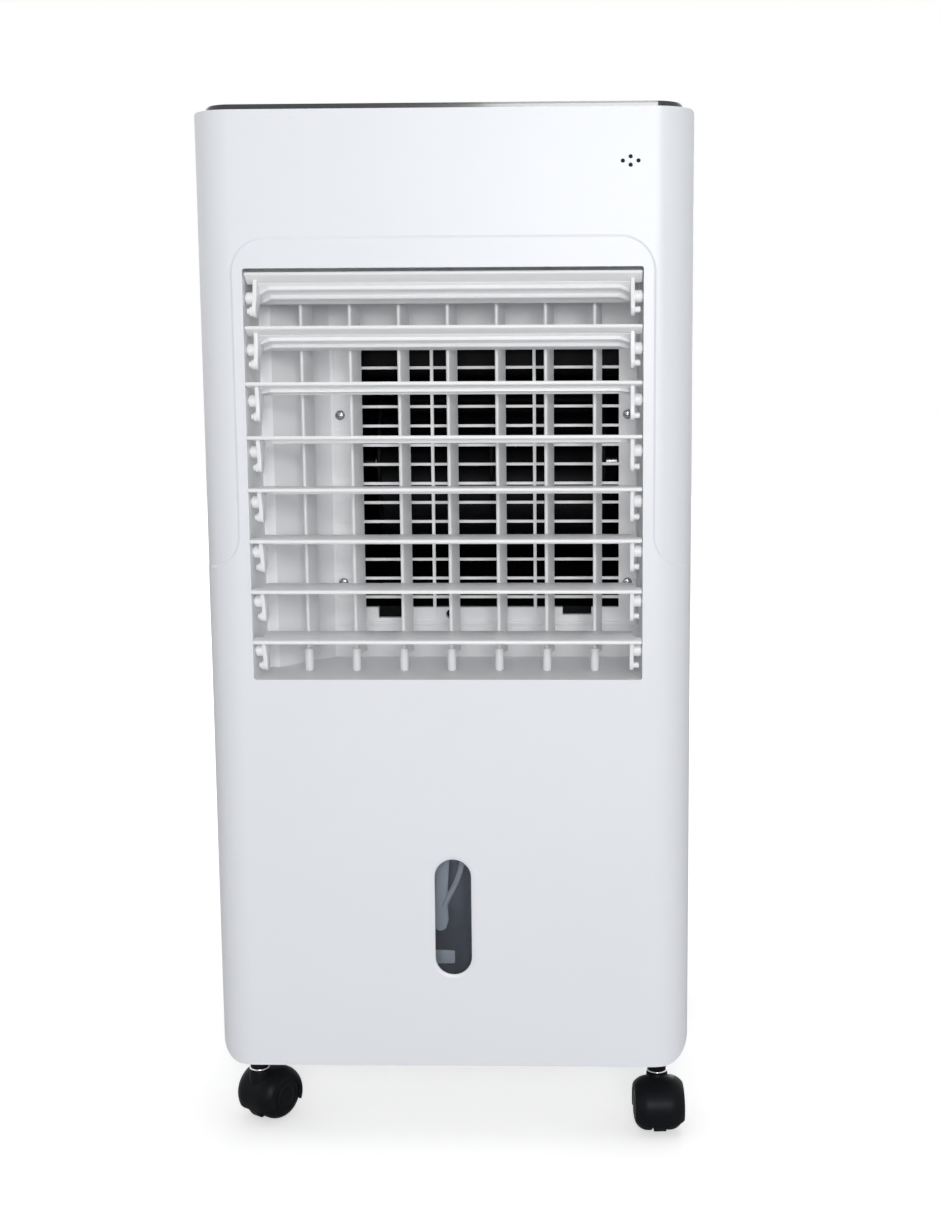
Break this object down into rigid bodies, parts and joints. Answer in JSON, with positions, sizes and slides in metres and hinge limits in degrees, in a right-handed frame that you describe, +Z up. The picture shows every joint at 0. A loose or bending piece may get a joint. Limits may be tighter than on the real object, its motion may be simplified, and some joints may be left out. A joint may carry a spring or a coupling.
{
  "type": "evaporative air cooler",
  "caption": "Upright portable evaporative air cooler on castors: slatted outlet in front, wet-pad intake behind, pull-out water tank below.",
  "frame": {"origin": "on the floor, under the middle of the whole object's bounding box", "axes": "+Z up, the outlet faces -Y, +X to the right seen from the front"},
  "size_m": [0.3, 0.29, 0.6475],
  "materials": {
    "cabinet_white": "satin white moulding",
    "inner_white": "matt white moulding",
    "slat_white": "satin white moulding",
    "panel_black": "polished black",
    "moulded_black": "fine-grained black",
    "button_grey": "soft dark grey",
    "steel": "zinc plated",
    "chrome": "polished",
    "window_clear": "clear",
    "tank_smoke": "smoky clear",
    "lens_blue": "clear blue",
    "board_green": "lacquered board",
    "pad_paper": "honeycomb paper",
    "filter_mesh": "fine mesh",
    "hose_grey": "translucent hose",
    "gland_rubber": "matt rubber"
  },
  "bodies": {
    "root": {"front_shell": "cabinet_white", "rear_shell": "cabinet_white", "base_pan": "inner_white", "top_cover": "inner_white", "control_panel": "panel_black", "control_board": "board_green", "indicator_lenses": "lens_blue", "level_window": "window_clear", "ir_receiver": "moulded_black", "louvre_frame": "inner_white", "outlet_guard": "slat_white", "guard_screws": "steel", "shell_screws": "steel", "swing_motor": "steel", "blower_casing": "moulded_black", "fan_motor": "steel", "drip_deck": "inner_white", "water_tray": "inner_white", "riser_hose": "hose_grey", "water_pump": "moulded_black", "cord_gland": "gland_rubber", "castor_sockets": "moulded_black", "castor_stems": "chrome"},
    "fan": {"fan_wheel": "moulded_black", "fan_shaft": "steel"},
    "tank": {"water_tank": "tank_smoke"},
    "latch": {"tank_latch": "cabinet_white"},
    "pad_cartridge": {"rear_grille": "cabinet_white", "dust_filter": "filter_mesh", "pad_cassette": "inner_white", "cooling_pad": "pad_paper"},
    "slat_1": {"slat_1": "slat_white"},
    "slat_2": {"slat_2": "slat_white"},
    "slat_3": {"slat_3": "slat_white"},
    "slat_4": {"slat_4": "slat_white"},
    "slat_5": {"slat_5": "slat_white"},
    "slat_6": {"slat_6": "slat_white"},
    "slat_7": {"slat_7": "slat_white"},
    "slat_8": {"slat_8": "slat_white"},
    "vane_4": {"vane_4": "slat_white"},
    "vane_1": {"vane_1": "slat_white"},
    "vane_2": {"vane_2": "slat_white"},
    "vane_3": {"vane_3": "slat_white"},
    "vane_5": {"vane_5": "slat_white"},
    "vane_6": {"vane_6": "slat_white"},
    "vane_7": {"vane_7": "slat_white"},
    "vane_link": {"vane_link": "inner_white"},
    "button_1": {"button_1": "button_grey"},
    "button_2": {"button_2": "button_grey"},
    "button_3": {"button_3": "button_grey"},
    "button_4": {"button_4": "button_grey"},
    "button_5": {"button_5": "button_grey"},
    "castor_hood_1": {"castor_hood_1": "moulded_black"},
    "castor_wheels_1": {"castor_wheels_1": "moulded_black"},
    "castor_hood_2": {"castor_hood_2": "moulded_black"},
    "castor_wheels_2": {"castor_wheels_2": "moulded_black"},
    "castor_hood_3": {"castor_hood_3": "moulded_black"},
    "castor_wheels_3": {"castor_wheels_3": "moulded_black"},
    "castor_hood_4": {"castor_hood_4": "moulded_black"},
    "castor_wheels_4": {"castor_wheels_4": "moulded_black"}
  },
  "joints": [
    {"name": "fan_spin", "type": "hinge", "parent": "root", "child": "fan", "pos_m": [0.0224, 0.01901, 0.4294], "axis": [1, 0, 0], "continuous": true},
    {"name": "tank_slide", "type": "slide", "parent": "root", "child": "tank", "axis": [0, 1, 0], "range_m": [0, 0.09]},
    {"name": "tank_latch_turn", "type": "hinge", "parent": "root", "child": "latch", "pos_m": [0, 0.14101, 0.214], "axis": [0, 1, 0], "range_deg": [0, 90]},
    {"name": "pad_cartridge_pull", "type": "slide", "parent": "root", "child": "pad_cartridge", "axis": [0, 1, 0], "range_m": [0, 0.06]},
    {"name": "slat_1_tilt", "type": "hinge", "parent": "root", "child": "slat_1", "pos_m": [0, -0.12999, 0.5346], "axis": [-1, 0, 0], "range_deg": [-64, 6]},
    {"name": "slat_2_tilt", "type": "hinge", "parent": "root", "child": "slat_2", "pos_m": [0, -0.12999, 0.50401], "axis": [-1, 0, 0], "range_deg": [-55, 15]},
    {"name": "slat_3_tilt", "type": "hinge", "parent": "root", "child": "slat_3", "pos_m": [0, -0.12999, 0.47343], "axis": [-1, 0, 0], "range_deg": [-40, 30]},
    {"name": "slat_4_tilt", "type": "hinge", "parent": "root", "child": "slat_4", "pos_m": [0, -0.12999, 0.44284], "axis": [-1, 0, 0], "range_deg": [-33, 37]},
    {"name": "slat_5_tilt", "type": "hinge", "parent": "root", "child": "slat_5", "pos_m": [0, -0.12999, 0.41226], "axis": [-1, 0, 0], "range_deg": [-29, 41]},
    {"name": "slat_6_tilt", "type": "hinge", "parent": "root", "child": "slat_6", "pos_m": [0, -0.12999, 0.38167], "axis": [-1, 0, 0], "range_deg": [-27, 43]},
    {"name": "slat_7_tilt", "type": "hinge", "parent": "root", "child": "slat_7", "pos_m": [0, -0.12999, 0.35109], "axis": [-1, 0, 0], "range_deg": [-26, 44]},
    {"name": "slat_8_tilt", "type": "hinge", "parent": "root", "child": "slat_8", "pos_m": [0, -0.12999, 0.3205], "axis": [-1, 0, 0], "range_deg": [-24.5, 45.5]},
    {"name": "vane_4_swing", "type": "hinge", "parent": "root", "child": "vane_4", "pos_m": [0, -0.10549, 0.42755], "axis": [0, 0, -1], "range_deg": [-46, 18]},
    {"name": "vane_1_swing", "type": "hinge", "parent": "root", "child": "vane_1", "pos_m": [-0.0906, -0.10549, 0.42755], "axis": [0, 0, -1], "range_deg": [-46, 18]},
    {"name": "vane_2_swing", "type": "hinge", "parent": "root", "child": "vane_2", "pos_m": [-0.0604, -0.10549, 0.42755], "axis": [0, 0, -1], "range_deg": [-46, 18]},
    {"name": "vane_3_swing", "type": "hinge", "parent": "root", "child": "vane_3", "pos_m": [-0.0302, -0.10549, 0.42755], "axis": [0, 0, -1], "range_deg": [-46, 18]},
    {"name": "vane_5_swing", "type": "hinge", "parent": "root", "child": "vane_5", "pos_m": [0.0302, -0.10549, 0.42755], "axis": [0, 0, -1], "range_deg": [-46, 18]},
    {"name": "vane_6_swing", "type": "hinge", "parent": "root", "child": "vane_6", "pos_m": [0.0604, -0.10549, 0.42755], "axis": [0, 0, -1], "range_deg": [-46, 18]},
    {"name": "vane_7_swing", "type": "hinge", "parent": "root", "child": "vane_7", "pos_m": [0.0906, -0.10549, 0.42755], "axis": [0, 0, -1], "range_deg": [-46, 18]},
    {"name": "vane_link_turn", "type": "hinge", "parent": "vane_4", "child": "vane_link", "pos_m": [0.0029, -0.09385, 0.54125], "axis": [0, 0, -1], "range_deg": [-18, 46]},
    {"name": "button_1_press", "type": "slide", "parent": "root", "child": "button_1", "axis": [0, 0, -1], "range_m": [0, 0.001], "stiffness_N_per_m": 500, "springref_m": -0.001},
    {"name": "button_2_press", "type": "slide", "parent": "root", "child": "button_2", "axis": [0, 0, -1], "range_m": [0, 0.001], "stiffness_N_per_m": 500, "springref_m": -0.001},
    {"name": "button_3_press", "type": "slide", "parent": "root", "child": "button_3", "axis": [0, 0, -1], "range_m": [0, 0.001], "stiffness_N_per_m": 500, "springref_m": -0.001},
    {"name": "button_4_press", "type": "slide", "parent": "root", "child": "button_4", "axis": [0, 0, -1], "range_m": [0, 0.001], "stiffness_N_per_m": 500, "springref_m": -0.001},
    {"name": "button_5_press", "type": "slide", "parent": "root", "child": "button_5", "axis": [0, 0, -1], "range_m": [0, 0.001], "stiffness_N_per_m": 500, "springref_m": -0.001},
    {"name": "castor_1_swivel", "type": "hinge", "parent": "root", "child": "castor_hood_1", "pos_m": [-0.1313, -0.10099, 0.033], "axis": [0, 0, 1], "continuous": true},
    {"name": "castor_1_roll", "type": "hinge", "parent": "castor_hood_1", "child": "castor_wheels_1", "pos_m": [-0.12614, -0.09362, 0.0165], "axis": [-0.8192, 0.5736, 0], "continuous": true},
    {"name": "castor_2_swivel", "type": "hinge", "parent": "root", "child": "castor_hood_2", "pos_m": [0.1313, -0.10099, 0.033], "axis": [0, 0, 1], "continuous": true},
    {"name": "castor_2_roll", "type": "hinge", "parent": "castor_hood_2", "child": "castor_wheels_2", "pos_m": [0.13193, -0.10997, 0.0165], "axis": [0.9976, 0.0698, 0], "continuous": true},
    {"name": "castor_3_swivel", "type": "hinge", "parent": "root", "child": "castor_hood_3", "pos_m": [-0.1313, 0.10301, 0.033], "axis": [0, 0, 1], "continuous": true},
    {"name": "castor_3_roll", "type": "hinge", "parent": "castor_hood_3", "child": "castor_wheels_3", "pos_m": [-0.12244, 0.10457, 0.0165], "axis": [-0.1736, 0.9848, 0], "continuous": true},
    {"name": "castor_4_swivel", "type": "hinge", "parent": "root", "child": "castor_hood_4", "pos_m": [0.1313, 0.10301, 0.033], "axis": [0, 0, 1], "continuous": true},
    {"name": "castor_4_roll", "type": "hinge", "parent": "castor_hood_4", "child": "castor_wheels_4", "pos_m": [0.12897, 0.1117, 0.0165], "axis": [-0.9659, -0.2588, 0], "continuous": true}
  ],
  "couplings": [
    {"joint": "vane_1_swing", "follows": "vane_4_swing", "ratio": 1},
    {"joint": "vane_2_swing", "follows": "vane_4_swing", "ratio": 1},
    {"joint": "vane_3_swing", "follows": "vane_4_swing", "ratio": 1},
    {"joint": "vane_5_swing", "follows": "vane_4_swing", "ratio": 1},
    {"joint": "vane_6_swing", "follows": "vane_4_swing", "ratio": 1},
    {"joint": "vane_7_swing", "follows": "vane_4_swing", "ratio": 1},
    {"joint": "vane_link_turn", "follows": "vane_4_swing", "ratio": -1}
  ]
}
